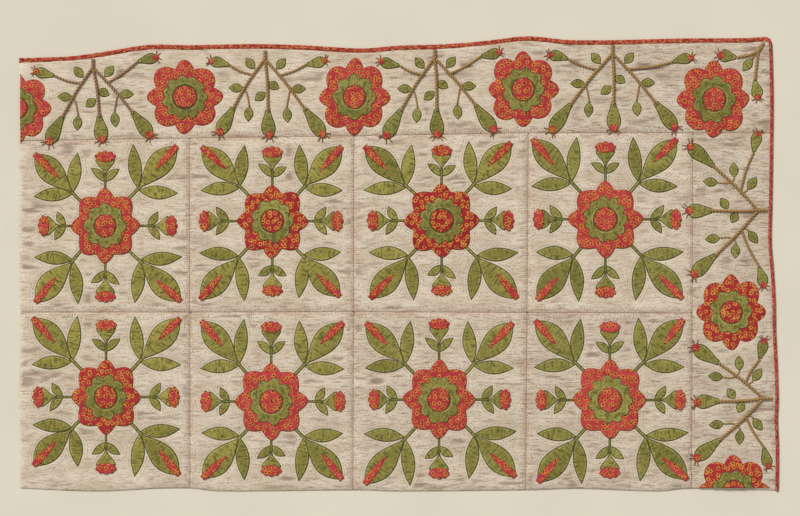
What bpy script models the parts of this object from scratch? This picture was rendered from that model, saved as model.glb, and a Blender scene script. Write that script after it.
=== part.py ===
"""An applique quilt lying face up: one upper corner of a bed quilt, made up as a piece of its own.

Eight blocks in two rows, a border across the top and down the right, red binding on those two
edges, and plain turned edges on the left and along the bottom. Roses, leaf sprays and bud sprays
are cut from cloth and sewn on in layers.

Metres. +X runs along the bound upper edge, +Y up the cloth, +Z out of its face. The origin is the
middle of the underside. A place on the cloth is a complex number, x + y * 1j.
"""

import cmath
import math

import bmesh
import bpy
from mathutils import Vector

# Heights above the surface that the quilt lies on
GAP = 0.0003
BACK_REBATE = 0.0011
BACK_TOP = 0.0026
PANEL_LOW = BACK_TOP + GAP
PANEL_SEAM = PANEL_LOW + 0.0007
PANEL_TOP = PANEL_LOW + 0.0015
CLOTH = 0.0010
FIRST_LAYER = PANEL_TOP + GAP
SECOND_LAYER = FIRST_LAYER + CLOTH + GAP
EYE_RISE = 0.0008

# The cloth's own sizes
SEAM_MARGIN = 0.018
BINDING_WIDTH = 0.013
SIDE_BINDING_WIDTH = 0.009
BINDING_WALL = 0.0010
BINDING_CLOTH = 0.0008
MITRE_SETBACK = 0.0002
TURNED_EDGE = 0.0007
TURNED_LAP = 0.0020

# The outer edges, x and y along each
TOP_EDGE = [
    (-1.026, 0.556), (-0.956, 0.558), (-0.875, 0.562), (-0.780, 0.576), (-0.672, 0.592), (-0.564, 0.591),
    (-0.402, 0.594), (-0.267, 0.591), (-0.132, 0.583), (-0.078, 0.583), (0.003, 0.590), (0.111, 0.593),
    (0.219, 0.601), (0.327, 0.614), (0.381, 0.613), (0.462, 0.605), (0.597, 0.605), (0.759, 0.609),
    (0.921, 0.610), (0.994, 0.613), (1.0035, 0.607),
]
RIGHT_EDGE = [
    (1.0035, 0.607), (1.0072, 0.594), (1.009, 0.551), (1.011, 0.443), (1.010, 0.308), (1.008, 0.173),
    (1.006, 0.065), (1.012, -0.016), (1.017, -0.097), (1.018, -0.178), (1.023, -0.286), (1.025, -0.367),
    (1.023, -0.421), (1.026, -0.502), (1.025, -0.612),
]
BOTTOM_EDGE = [
    (1.025, -0.612), (0.790, -0.607), (0.691, -0.614), (0.483, -0.607), (0.342, -0.611), (0.003, -0.614),
    (-0.124, -0.611), (-0.464, -0.614), (-0.564, -0.606), (-0.664, -0.607), (-0.820, -0.614),
    (-1.023, -0.606),
]
LEFT_EDGE = [(-1.023, -0.606), (-1.022, -0.500), (-1.025, -0.367), (-1.023, -0.130), (-1.025, 0.040),
             (-1.026, 0.332)]

# Where the seams meet, left to right, on the three lines that run across
SEAM_CORNERS = {
    "under_border": [(-1.026, 0.332), (-0.566, 0.340), (-0.122, 0.346), (0.349, 0.354), (0.793, 0.354)],
    "middle": [(-1.023, -0.130), (-0.565, -0.130), (-0.123, -0.129), (0.346, -0.131), (0.792, -0.133)],
    "bottom": [(-1.023, -0.606), (-0.564, -0.606), (-0.124, -0.611), (0.342, -0.611), (0.790, -0.607)],
}
BORDER_SEAM_END = (1.0103, 0.354)

# The rose and its heart: lobes, radii as shares of half the rose's size, the points in each lobe and
# how blunt it is
LOBES = 8
ROSE_VALLEY = 0.78
ROSE_STEPS = 6
BLOCK_ROSE_POWER = 1.5
BORDER_ROSE_POWER = 1.9
RING_PEAK = 0.62
RING_VALLEY = 0.50
RING_STEPS = 3
RING_POWER = 3.0
EYE_RADIUS = 0.31

# Each block: its rose, how far the four corner leaves reach, and the reach of the four side flowers
BLOCK_COLUMNS = ("x", "y", "ne", "nw", "sw", "se", "north", "west", "south", "east")
BLOCKS = {
    "r1c1": (-0.793, 0.103, 0.193 + 0.215j, -0.190 + 0.193j, -0.188 - 0.206j, 0.204 - 0.203j,
             0.201, 0.180, 0.205, 0.193),
    "r1c2": (-0.342, 0.116, 0.187 + 0.201j, -0.190 + 0.200j, -0.194 - 0.211j, 0.182 - 0.203j,
             0.200, 0.197, 0.202, 0.190),
    "r1c3": (0.115, 0.117, 0.187 + 0.210j, -0.207 + 0.200j, -0.193 - 0.209j, 0.204 - 0.209j,
             0.203, 0.200, 0.202, 0.194),
    "r1c4": (0.557, 0.121, 0.192 + 0.216j, -0.197 + 0.216j, -0.184 - 0.217j, 0.208 - 0.214j,
             0.208, 0.194, 0.211, 0.204),
    "r2c1": (-0.791, -0.359, 0.199 + 0.212j, -0.197 + 0.213j, -0.195 - 0.184j, 0.197 - 0.210j,
             0.208, 0.197, 0.207, 0.197),
    "r2c2": (-0.345, -0.371, 0.194 + 0.213j, -0.188 + 0.217j, -0.185 - 0.207j, 0.191 - 0.210j,
             0.215, 0.190, 0.201, 0.199),
    "r2c3": (0.108, -0.366, 0.198 + 0.207j, -0.197 + 0.207j, -0.200 - 0.227j, 0.206 - 0.208j,
             0.218, 0.190, 0.213, 0.193),
    "r2c4": (0.569, -0.367, 0.198 + 0.217j, -0.201 + 0.214j, -0.194 - 0.221j, 0.209 - 0.214j,
             0.211, 0.199, 0.210, 0.204),
}

# The border roses: centre, width, height, and the side where the cloth's edge cuts one
BORDER_ROSE_COLUMNS = ("x", "y", "width", "height", "cut")
BORDER_ROSES = {
    "t1": (-1.031, 0.420, 0.180, 0.190, "left"),
    "t2": (-0.578, 0.451, 0.204, 0.195, None),
    "t3": (-0.120, 0.451, 0.190, 0.204, None),
    "t4": (0.335, 0.471, 0.191, 0.200, None),
    "t5": (0.850, 0.444, 0.194, 0.210, None),
    "s1": (0.896, -0.130, 0.186, 0.198, None),
    "s2": (0.903, -0.608, 0.194, 0.194, "bottom"),
}
BLOCK_ROSE_SIZE = (0.190, 0.200)
# What grows round a block's rose, anticlockwise: a side flower's way, its column and the next corner's
GROWTH = ((1, "east", "ne"), (1j, "north", "nw"), (-1, "west", "sw"), (-1j, "south", "se"))

# The lines that cut a rose, each a place on it and the way that what is kept lies
CUTS = {
    "left": (complex(TOP_EDGE[0][0] + 0.004, 0.0), 1),
    "bottom": (complex(0.0, BOTTOM_EDGE[0][1] + 0.008), 1j),
}

# The bud sprays: root by the binding, the way each grows, and the tips of its five buds, given as
# the distance inward from the root and the distance aside
SPRAY_COLUMNS = ("x", "y", "forward", "outer_a", "outer_b", "middle", "side_a", "side_b")
SPRAYS = {
    "t1": (-0.826, 0.551, -1j, 0.228 - 0.122j, 0.209 + 0.158j, 0.223 + 0.025j,
           0.030 - 0.160j, -0.008 + 0.176j),
    "t2": (-0.362, 0.574, -1j, 0.225 - 0.126j, 0.231 + 0.160j, 0.234 + 0.012j,
           0.025 - 0.151j, 0.023 + 0.167j),
    "t3": (0.096, 0.577, -1j, 0.238 - 0.134j, 0.220 + 0.164j, 0.236 + 0.008j,
           0.029 - 0.150j, 0.004 + 0.180j),
    "t4": (0.576, 0.589, -1j, 0.233 - 0.167j, 0.227 + 0.172j, 0.230 + 0.004j,
           0.023 - 0.175j, 0.031 + 0.218j),
    "s1": (0.990, 0.145, -1.0, 0.210 - 0.177j, 0.199 + 0.178j, 0.215 + 0.001j,
           0.020 - 0.213j, 0.005 + 0.209j),
    "s2": (1.004, -0.363, -1.0, 0.210 - 0.142j, 0.206 + 0.165j, 0.207 + 0.011j,
           0.018 - 0.162j, 0.006 + 0.188j),
}
BUD_START = 0.66
SIDE_BUD_LENGTH = 0.056
SPRAY_FORK = 0.024

# What grows off an outer branch: the share along it, then where foot and tip lie from there, in and out
BRANCH_LEAF_COLUMNS = ("share", "foot", "tip")
BRANCH_LEAVES = {
    "low": (0.19, 0.009j, -0.030 + 0.034j),
    "twig": (0.31, 0.009j, 0.0),
    "far": (0.60, 0.006j, 0.047j),
    "inner": (0.75, -0.013j, 0.073 - 0.018j),
}
INNER_TWIG_END = 0.030 - 0.021j
MIDDLE_LEAVES = ((0.47, 0.57, -0.034), (0.36, 0.43, 0.034))
CORNER_SPRAY_ROOT = 0.984 + 0.597j

# Half-widths along the leaves and buds, as shares: how far along, and how wide there
SIDE_LEAF = [(0.0, 0.14), (0.30, 0.86), (0.66, 0.86), (1.0, 0.0)]
BIG_LEAF = [(0.0, 0.15), (0.30, 0.68), (0.60, 1.0), (0.86, 0.72), (1.0, 0.12)]
SMALL_LEAF = [(0.0, 0.30), (0.50, 1.0), (1.0, 0.0)]
FLOWER = [(0.0, 0.16), (0.30, 0.55), (0.58, 0.86), (0.76, 1.0), (1.0, 0.78)]
BUD = [(0.0, 0.38), (0.36, 0.64), (0.70, 1.0), (0.90, 0.84), (1.0, 0.46)]

STEM_HALF = 0.0045
HUB_RADIUS = 0.030
BIG_LEAF_WIDTH = 0.067
SIDE_LEAF_WIDTH = 0.038
SMALL_LEAF_WIDTH = 0.019
FLOWER_WIDTH = 0.056
BUD_WIDTH = 0.040
SIDE_BUD_WIDTH = 0.031
BRANCH_HALF = 0.0036
TWIG_HALF = 0.0026
LEAF_WIDTH = 0.026

# Shares of a corner spray's reach at which its stem forks, and of a side flower's reach
FORK = 0.49
FLOWER_START = 0.69
FLOWER_LEAF_START = 0.63
FLOWER_LEAF_TIP = 0.73
FLOWER_LEAF_SIDE = 0.041

COLOURS = {
    "backing": (0.60, 0.50, 0.39), "ground": (0.62, 0.52, 0.41), "red": (0.46, 0.07, 0.04),
    "green": (0.20, 0.20, 0.06),
}
ROUGHNESS = 0.9


def clear_scene():
    for old in list(bpy.data.objects):
        bpy.data.objects.remove(old)


def material(name):
    """The cloth of that colour, made once."""
    made = bpy.data.materials.get(name)
    if made is None:
        made = bpy.data.materials.new(name)
        made.use_nodes = True
        shader = made.node_tree.nodes["Principled BSDF"]
        shader.inputs["Base Color"].default_value = (*COLOURS[name], 1.0)
        shader.inputs["Roughness"].default_value = ROUGHNESS
        shader.inputs["Metallic"].default_value = 0.0
    return made


def add_object(name, data, colour, collection):
    obj = bpy.data.objects.new(name, data)
    data.materials.append(material(colour))
    collection.objects.link(obj)
    return obj


def place(points):
    """A table's x and y pairs as places on the cloth."""
    return [complex(x, y) for x, y in points]


def inset(outline, distance):
    """The closed outline moved inwards. distance is one number, or one for each side in turn."""
    count = len(outline)
    sides = [distance] * count if isinstance(distance, float) else distance
    moved = []
    for i, corner in enumerate(outline):
        before = corner - outline[i - 1]
        after = outline[(i + 1) % count] - corner
        before /= abs(before)
        after /= abs(after)
        turn = (before.conjugate() * after).imag
        if abs(turn) < 1e-3:
            moved.append(corner + 1j * after * sides[i])
            continue
        start = corner + 1j * before * sides[i - 1]
        goal = corner + 1j * after * sides[i]
        along = ((goal - start).conjugate() * after).imag / (before.conjugate() * after).imag
        moved.append(start + before * along)
    return moved


def loft(loops):
    """A closed mesh through loops of equally many points, each a list of (place, height)."""
    mesh = bmesh.new()
    rings = [[mesh.verts.new((p.real, p.imag, z)) for p, z in loop] for loop in loops]
    count = len(rings[0])
    for low, high in zip(rings, rings[1:]):
        for i in range(count):
            j = (i + 1) % count
            mesh.faces.new((low[i], low[j], high[j], high[i]))
    mesh.faces.new(list(reversed(rings[0])))
    mesh.faces.new(rings[-1])
    bmesh.ops.recalc_face_normals(mesh, faces=mesh.faces)
    return mesh


def mesh_object(name, mesh, colour, collection):
    data = bpy.data.meshes.new(name)
    mesh.to_mesh(data)
    mesh.free()
    return add_object(name, data, colour, collection)


def patch(name, outline, low, colour, collection):
    """A piece of cloth cut to the outline and laid with its underside at the height low."""
    curve = bpy.data.curves.new(name, "CURVE")
    curve.dimensions = "2D"
    curve.fill_mode = "BOTH"
    curve.extrude = CLOTH / 2
    spline = curve.splines.new("POLY")
    spline.points.add(len(outline) - 1)
    for point, p in zip(spline.points, outline):
        point.co = (p.real, p.imag, 0.0, 1.0)
    spline.use_cyclic_u = True
    obj = add_object(name, curve, colour, collection)
    obj.location.z = low + CLOTH / 2
    return obj


# Ground: the backing with its filling, and the panels of the quilt top

def backing(collection):
    """One sheet, thinner along the bound edges, where the binding's inner lap lies under it."""
    edges = [TOP_EDGE, RIGHT_EDGE, BOTTOM_EDGE, LEFT_EDGE]
    outer = [p for edge in edges for p in place(edge)[:-1]] + place(LEFT_EDGE)[-1:]
    outer.reverse()
    bound = len(TOP_EDGE) + len(RIGHT_EDGE) - 2
    plain = len(outer) - bound
    cavity = [0.0] * (plain - 1) + [BINDING_WALL + GAP] * bound + [0.0]
    whole = inset(outer, cavity)
    lap = [TURNED_LAP] * (plain - 1) + [BINDING_WIDTH + GAP] * bound + [TURNED_LAP]
    foot = inset(whole, lap)
    chamfer = [TURNED_EDGE] * (plain - 1) + [BINDING_WIDTH + GAP] * bound + [TURNED_EDGE]
    middle = inset(whole, chamfer)
    heights = [BACK_REBATE / 2] * (plain - 1) + [BACK_REBATE] * (bound + 1)
    loops = [
        [(p, 0.0) for p in foot],
        list(zip(middle, heights)),
        [(p, BACK_REBATE) for p in whole],
        [(p, BACK_TOP) for p in whole],
    ]
    return mesh_object("backing", loft(loops), "backing", collection)


def panel(name, outline, collection):
    """One piece of the quilt top, full in its middle and drawn down to its seams."""
    mesh = bmesh.new()
    face = mesh.faces.new([mesh.verts.new((p.real, p.imag, PANEL_LOW)) for p in outline])
    mesh.normal_update()
    if face.normal.z < 0:
        face.normal_flip()
    raised = bmesh.ops.extrude_face_region(mesh, geom=[face])["geom"]
    top = [g for g in raised if isinstance(g, bmesh.types.BMFace)]
    bmesh.ops.translate(mesh, vec=Vector((0, 0, PANEL_SEAM - PANEL_LOW)), verts=top[0].verts)
    bmesh.ops.inset_individual(mesh, faces=top, thickness=SEAM_MARGIN, depth=PANEL_TOP - PANEL_SEAM)
    bmesh.ops.recalc_face_normals(mesh, faces=mesh.faces)
    return mesh_object(name, mesh, "ground", collection)


def edge_between(edge, low, high):
    """The stations of a table edge whose x lies between two values."""
    return [p for p in place(edge) if low + SEAM_MARGIN < p.real < high - SEAM_MARGIN]


def block_panels(collection):
    rows = [place(SEAM_CORNERS[line]) for line in ("under_border", "middle", "bottom")]
    for row in range(2):
        for column in range(4):
            low_left, low_right = rows[row + 1][column: column + 2]
            high_left, high_right = rows[row][column: column + 2]
            waves = edge_between(BOTTOM_EDGE, low_left.real, low_right.real) if row == 1 else []
            outline = [low_left, *reversed(waves), low_right, high_right, high_left]
            panel(f"block_r{row + 1}c{column + 1}", inset(outline, GAP / 2), collection)


def border_panels(collection):
    """The top border runs the full width, and the side border meets it from below."""
    cavity = BINDING_WALL + GAP
    seam = place(SEAM_CORNERS["under_border"])
    seam_end = complex(*BORDER_SEAM_END)
    up_the_right = list(reversed(place(RIGHT_EDGE)[1:]))
    bound = [p for p in up_the_right if p.imag > seam_end.imag] + list(reversed(place(TOP_EDGE)[:-1]))
    outline = [*seam, seam_end, *bound]
    sides = [GAP / 2] * len(seam) + [cavity] * len(bound) + [GAP / 2]
    panel("border_top", inset(outline, sides), collection)

    right = [p for p in up_the_right if p.imag < seam_end.imag]
    left = [place(SEAM_CORNERS[line])[-1] for line in ("under_border", "middle", "bottom")]
    outline = [left[2], *right, seam_end, left[0], left[1]]
    sides = [GAP / 2] + [cavity] * len(right) + [GAP / 2] * 3
    panel("border_side", inset(outline, sides), collection)


def binding_section(lap):
    """The folded strip in section: distance in from the outer edge, and height."""
    wall = BINDING_WALL
    slope = (PANEL_TOP - PANEL_SEAM) / SEAM_MARGIN
    under = PANEL_SEAM + GAP
    under_lap = under + slope * (lap - wall)
    return [
        (lap, 0.0), (wall, 0.0), (0.0, BINDING_CLOTH), (0.0, under), (wall, under + BINDING_CLOTH),
        (lap, under_lap + BINDING_CLOTH), (lap, under_lap), (wall, under), (wall, BINDING_CLOTH),
        (lap, BINDING_CLOTH),
    ]


def unit(z):
    return z / abs(z)


def ways_inward(stations):
    """At each station the way in from the edge, long enough to lie 1 away from the sides next to it."""
    ways = []
    for before, at, after in zip([None, *stations], stations, [*stations[1:], None]):
        ahead = unit(after - at) if after is not None else unit(at - before)
        behind = unit(at - before) if before is not None else ahead
        ways.append(-1j * (behind + ahead) / (1 + (behind.conjugate() * ahead).real))
    return ways


def bindings(collection):
    """The strips folded over the two bound edges, mitred where they meet at the rounded corner."""
    edge = place(TOP_EDGE) + place(RIGHT_EDGE)[1:]
    ways = ways_inward(edge)
    corner = len(TOP_EDGE) - 1
    top, side = edge[:corner + 1], edge[corner:]
    top[-1] += unit(top[-2] - top[-1]) * MITRE_SETBACK
    side[0] += unit(side[1] - side[0]) * MITRE_SETBACK
    rows = (("binding_top", top, ways[:corner + 1], BINDING_WIDTH),
            ("binding_side", side, ways[corner:], SIDE_BINDING_WIDTH))
    for name, stations, inward, width in rows:
        section = binding_section(width)
        loops = [[(at + way * s, z) for s, z in section] for at, way in zip(stations, inward)]
        mesh_object(name, loft(loops), "red", collection)


# Flowers: outlines run anticlockwise, out along the right side and back along the left

def lobed(centre, size, peak, valley, steps, power):
    """A ring of lobes, one lobe at the top. size is the whole rose's width and height, and a higher
    power makes blunter lobes."""
    outline = []
    for i in range(LOBES * steps):
        across = 2 * (i % steps) / steps - 1
        share = valley + (peak - valley) * (1 - abs(across) ** power)
        at = cmath.rect(share / 2, 2 * math.pi * (i / steps + 0.5) / LOBES)
        outline.append(centre + complex(at.real * size[0], at.imag * size[1]))
    return outline


def cut_at(outline, cut):
    """The outline without what lies past the cloth's left or bottom edge."""
    if cut is None:
        return outline
    line, normal = CUTS[cut]
    kept = []
    for i, p in enumerate(outline):
        before = outline[i - 1]
        depth, depth_before = (((q - line) * normal.conjugate()).real for q in (p, before))
        if (depth > 0) != (depth_before > 0):
            kept.append(before + (p - before) * depth_before / (depth_before - depth))
        if depth > 0:
            kept.append(p)
    return kept


def rose(name, centre, size, power, base, cut, collection):
    """The red rosette, and on it the green ring with the red eye as one raised heart."""
    outline = lobed(centre, size, 1.0, ROSE_VALLEY, ROSE_STEPS, power)
    patch(f"rose_{name}", cut_at(outline, cut), base, "red", collection)

    low = base + CLOTH + GAP
    ring = lobed(centre, size, RING_PEAK, RING_VALLEY, RING_STEPS, RING_POWER)
    eye = lobed(centre, size, EYE_RADIUS, EYE_RADIUS, RING_STEPS, RING_POWER)
    loops = [(ring, low), (ring, low + CLOTH), (eye, low + CLOTH), (eye, low + CLOTH + EYE_RISE)]
    mesh = loft([[(p, z) for p in outline] for outline, z in loops])
    if cut:
        line, normal = CUTS[cut]
        sliced = bmesh.ops.bisect_plane(
            mesh, geom=[*mesh.verts, *mesh.edges, *mesh.faces], clear_outer=True,
            plane_co=(line.real, line.imag, 0), plane_no=(-normal.real, -normal.imag, 0))
        rim = [g for g in sliced["geom_cut"] if isinstance(g, bmesh.types.BMEdge)]
        bmesh.ops.edgeloop_fill(mesh, edges=rim)
        bmesh.ops.recalc_face_normals(mesh, faces=mesh.faces)
    mesh_object(f"heart_{name}", mesh, "green", collection)


def blade(base, tip, width, shape):
    """A leaf, bud or flower: its right side from base to tip, then its left side back."""
    axis = tip - base
    across = 1j * axis / abs(axis) * width / 2
    right = [base + axis * s - across * w for s, w in shape]
    left = [base + axis * s + across * w for s, w in reversed(shape) if w > 0]
    return right + left


def stalk(start, end, half, right, head, left):
    """A stem with what grows on its right, at its end and on its left, each an outline."""
    across = 1j * (end - start) / abs(end - start) * half
    outline = [start - across]
    for growth in right:
        outline += growth
    outline += head
    for growth in reversed(left):
        outline += growth
    return [*outline, start + across]


def corner_leaves(centre, reach):
    """The stem, large leaf and two side leaves that grow to one corner of a block."""

    def side_leaf(foot, tip):
        """A side leaf between two places, each given as shares of the reach along x and y."""
        start, end = (centre + complex(x * reach.real, y * reach.imag) for x, y in (foot, tip))
        return blade(start, end, SIDE_LEAF_WIDTH, SIDE_LEAF)

    way = reach / abs(reach)
    upright = side_leaf((0.457, 0.52), (0.39, 1.03))
    level = side_leaf((0.514, 0.44), (1.02, 0.41))
    big = blade(centre + reach * (FORK + 0.02), centre + reach, BIG_LEAF_WIDTH, BIG_LEAF)
    turns_left = reach.real * reach.imag > 0
    right, left = (level, upright) if turns_left else (upright, level)
    return stalk(centre + way * HUB_RADIUS, centre + reach * FORK, STEM_HALF, [right], big, [left])


def side_flower(centre, way, reach):
    """The stem, two small leaves and flower that grow to one side of a block."""
    stem_half = STEM_HALF * 0.8

    def small_leaf(side):
        start = centre + way * (reach * FLOWER_LEAF_START + 1j * side * stem_half)
        tip = centre + way * (reach * FLOWER_LEAF_TIP + 1j * side * FLOWER_LEAF_SIDE)
        return blade(start, tip, SMALL_LEAF_WIDTH, SMALL_LEAF)

    start = centre + way * reach * FLOWER_START
    flower = blade(start, centre + way * reach, FLOWER_WIDTH, FLOWER)
    return stalk(centre + way * HUB_RADIUS, start, stem_half, [small_leaf(-1)], flower, [small_leaf(1)])


def foliage(name, row, collection):
    """All the green of a block in one outline. Its stems cross under the rose."""
    centre = complex(row["x"], row["y"])
    outline = []
    for way, side, corner in GROWTH:
        outline += side_flower(centre, way, row[side])
        outline += corner_leaves(centre, row[corner])
    patch(f"foliage_{name}", outline, FIRST_LAYER, "green", collection)


def outer_branch(at, side, far_bud, side_bud):
    """One of a spray's two outer branches, with its buds and leaves. side is -1 or 1."""

    def off(share, shift):
        return start + (end - start) * share + complex(shift.real, side * shift.imag)

    def growth(name):
        row = dict(zip(BRANCH_LEAF_COLUMNS, BRANCH_LEAVES[name]))
        return off(row["share"], row["foot"]), off(row["share"], complex(row["tip"]))

    start = complex(SPRAY_FORK, 0.005 * side)
    end = far_bud * BUD_START
    low_leaf = blade(*map(at, growth("low")), LEAF_WIDTH, SMALL_LEAF)
    far_leaf = blade(*map(at, growth("far")), LEAF_WIDTH, SMALL_LEAF)
    foot, tip = growth("inner")
    elbow = off(BRANCH_LEAVES["inner"][0], INNER_TWIG_END)
    leaf = blade(at(elbow), at(tip), LEAF_WIDTH, SMALL_LEAF)
    inner_leaf = stalk(at(foot), at(elbow), TWIG_HALF, [], leaf, [])
    foot = growth("twig")[0]
    neck = side_bud + complex(0.013, -SIDE_BUD_LENGTH * side)
    bud = blade(at(neck), at(side_bud), SIDE_BUD_WIDTH, BUD)
    twig_bud = stalk(at(foot), at(neck), TWIG_HALF, [], bud, [])
    outside = [low_leaf, twig_bud, far_leaf]
    right, left = (outside, [inner_leaf]) if side < 0 else ([inner_leaf], outside)
    end_bud = blade(at(end), at(far_bud), BUD_WIDTH, BUD)
    return stalk(at(start), at(end), BRANCH_HALF, right, end_bud, left)


def spray(name, row, collection):
    """A bud spray: three branches from one fork, with buds at their ends and leaves between."""
    root = complex(row["x"], row["y"])

    def at(offset):
        return root + complex(row["forward"]) * offset

    middle_bud = row["middle"]
    neck = middle_bud * BUD_START
    leaves = []
    for foot, tip, aside in MIDDLE_LEAVES:
        hold = math.copysign(0.007, aside)
        start, end = middle_bud * foot + hold * 1j, middle_bud * tip + aside * 1j
        leaves.append([blade(at(start), at(end), LEAF_WIDTH, SMALL_LEAF)])
    end_bud = blade(at(neck), at(middle_bud), BUD_WIDTH, BUD)
    middle = stalk(at(1.7 * SPRAY_FORK), at(neck), BRANCH_HALF, leaves[0], end_bud, leaves[1])
    crown = outer_branch(at, -1, row["outer_a"], row["side_a"])
    crown += middle
    crown += outer_branch(at, 1, row["outer_b"], row["side_b"])
    outline = stalk(root, at(SPRAY_FORK), BRANCH_HALF, [], crown, [])
    patch(f"spray_{name}", outline, FIRST_LAYER, "green", collection)


def corner_spray(collection):
    """The small sprig in the upper right corner: two buds and a leaf."""
    root = CORNER_SPRAY_ROOT
    fork = root - 0.013 - 0.020j
    side_end = root - 0.073 - 0.040j
    side_bud = blade(side_end, root - 0.124 - 0.033j, BUD_WIDTH * 0.9, BUD)
    down_end = root - 0.024 - 0.101j
    down_bud = blade(down_end, root - 0.015 - 0.153j, BUD_WIDTH * 0.82, BUD)
    crown = stalk(fork - 0.005, side_end, TWIG_HALF, [], side_bud, [])
    crown += blade(fork - 0.008 - 0.009j, fork - 0.043 - 0.057j, LEAF_WIDTH * 0.7, SMALL_LEAF)
    crown += stalk(fork - 0.010j, down_end, TWIG_HALF, [], down_bud, [])
    outline = stalk(root, fork, BRANCH_HALF, [], crown, [])
    patch("spray_corner", outline, FIRST_LAYER, "green", collection)


def main():
    clear_scene()
    collection = bpy.data.collections.new("applique_quilt")
    bpy.context.scene.collection.children.link(collection)
    backing(collection)
    block_panels(collection)
    border_panels(collection)
    bindings(collection)
    for name, values in BLOCKS.items():
        row = dict(zip(BLOCK_COLUMNS, values))
        foliage(name, row, collection)
        centre = complex(row["x"], row["y"])
        rose(name, centre, BLOCK_ROSE_SIZE, BLOCK_ROSE_POWER, SECOND_LAYER, None, collection)
    for name, values in BORDER_ROSES.items():
        row = dict(zip(BORDER_ROSE_COLUMNS, values))
        centre = complex(row["x"], row["y"])
        size = (row["width"], row["height"])
        rose(name, centre, size, BORDER_ROSE_POWER, FIRST_LAYER, row["cut"], collection)
    for name, values in SPRAYS.items():
        spray(name, dict(zip(SPRAY_COLUMNS, values)), collection)
    corner_spray(collection)


main()
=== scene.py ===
import cmath
import math

import bpy
import numpy as np
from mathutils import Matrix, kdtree


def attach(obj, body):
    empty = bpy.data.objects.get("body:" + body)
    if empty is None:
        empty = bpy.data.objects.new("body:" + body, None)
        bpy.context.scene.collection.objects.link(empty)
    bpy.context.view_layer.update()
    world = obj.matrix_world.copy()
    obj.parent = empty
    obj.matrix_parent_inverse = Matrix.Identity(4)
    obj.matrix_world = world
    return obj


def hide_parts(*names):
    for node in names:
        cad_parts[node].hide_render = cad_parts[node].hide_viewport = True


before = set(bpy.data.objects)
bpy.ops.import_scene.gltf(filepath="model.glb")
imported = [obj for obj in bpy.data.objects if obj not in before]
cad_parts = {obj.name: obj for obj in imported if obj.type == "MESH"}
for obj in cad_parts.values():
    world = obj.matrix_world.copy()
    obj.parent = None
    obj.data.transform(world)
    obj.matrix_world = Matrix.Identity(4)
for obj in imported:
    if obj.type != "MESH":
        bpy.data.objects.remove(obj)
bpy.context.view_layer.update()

# The quilt lies face up. A place on it is a complex number, x + y * 1j, in metres.

def named_rows(columns, table):
    """The rows of a table, each as a dictionary with these columns."""
    return {name: dict(zip(columns, row)) for name, row in table.items()}


# Outer edges
TOP_EDGE = np.array([
    -1.026 + 0.556j, -0.956 + 0.558j, -0.875 + 0.562j, -0.780 + 0.576j, -0.672 + 0.592j, -0.564 + 0.591j,
    -0.402 + 0.594j, -0.267 + 0.591j, -0.132 + 0.583j, -0.078 + 0.583j, 0.003 + 0.590j, 0.111 + 0.593j,
    0.219 + 0.601j, 0.327 + 0.614j, 0.381 + 0.613j, 0.462 + 0.605j, 0.597 + 0.605j, 0.759 + 0.609j,
    0.921 + 0.610j, 0.980 + 0.6128j, 0.994 + 0.613j, 1.0035 + 0.607j,
])
RIGHT_EDGE = np.array([
    1.025 - 0.612j, 1.026 - 0.502j, 1.023 - 0.421j, 1.025 - 0.367j, 1.023 - 0.286j, 1.018 - 0.178j,
    1.017 - 0.097j, 1.012 - 0.016j, 1.006 + 0.065j, 1.008 + 0.173j, 1.010 + 0.308j, 1.011 + 0.443j,
    1.009 + 0.551j, 1.0078 + 0.580j, 1.0072 + 0.594j, 1.0035 + 0.607j,
])
BOTTOM_EDGE = np.array([
    -1.023 - 0.606j, -0.820 - 0.614j, -0.664 - 0.607j, -0.564 - 0.606j, -0.464 - 0.614j,
    -0.124 - 0.611j, 0.003 - 0.614j, 0.342 - 0.611j, 0.483 - 0.607j, 0.691 - 0.614j, 0.790 - 0.607j,
    1.025 - 0.612j,
])
LEFT_EDGE = np.array([
    -1.023 - 0.606j, -1.022 - 0.500j, -1.025 - 0.367j, -1.023 - 0.130j, -1.025 + 0.040j, -1.026 + 0.332j,
    -1.026 + 0.556j,
])
# Where the seams of the blocks cross, from the bottom row up
SEAM_CORNERS = [
    [-1.023 - 0.606j, -0.564 - 0.606j, -0.124 - 0.611j, 0.342 - 0.611j, 0.790 - 0.607j],
    [-1.023 - 0.130j, -0.565 - 0.130j, -0.123 - 0.129j, 0.346 - 0.131j, 0.792 - 0.133j],
    [-1.026 + 0.332j, -0.566 + 0.340j, -0.122 + 0.346j, 0.349 + 0.354j, 0.793 + 0.354j],
]
BORDER_SEAM_END = 1.0103 + 0.354j

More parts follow.
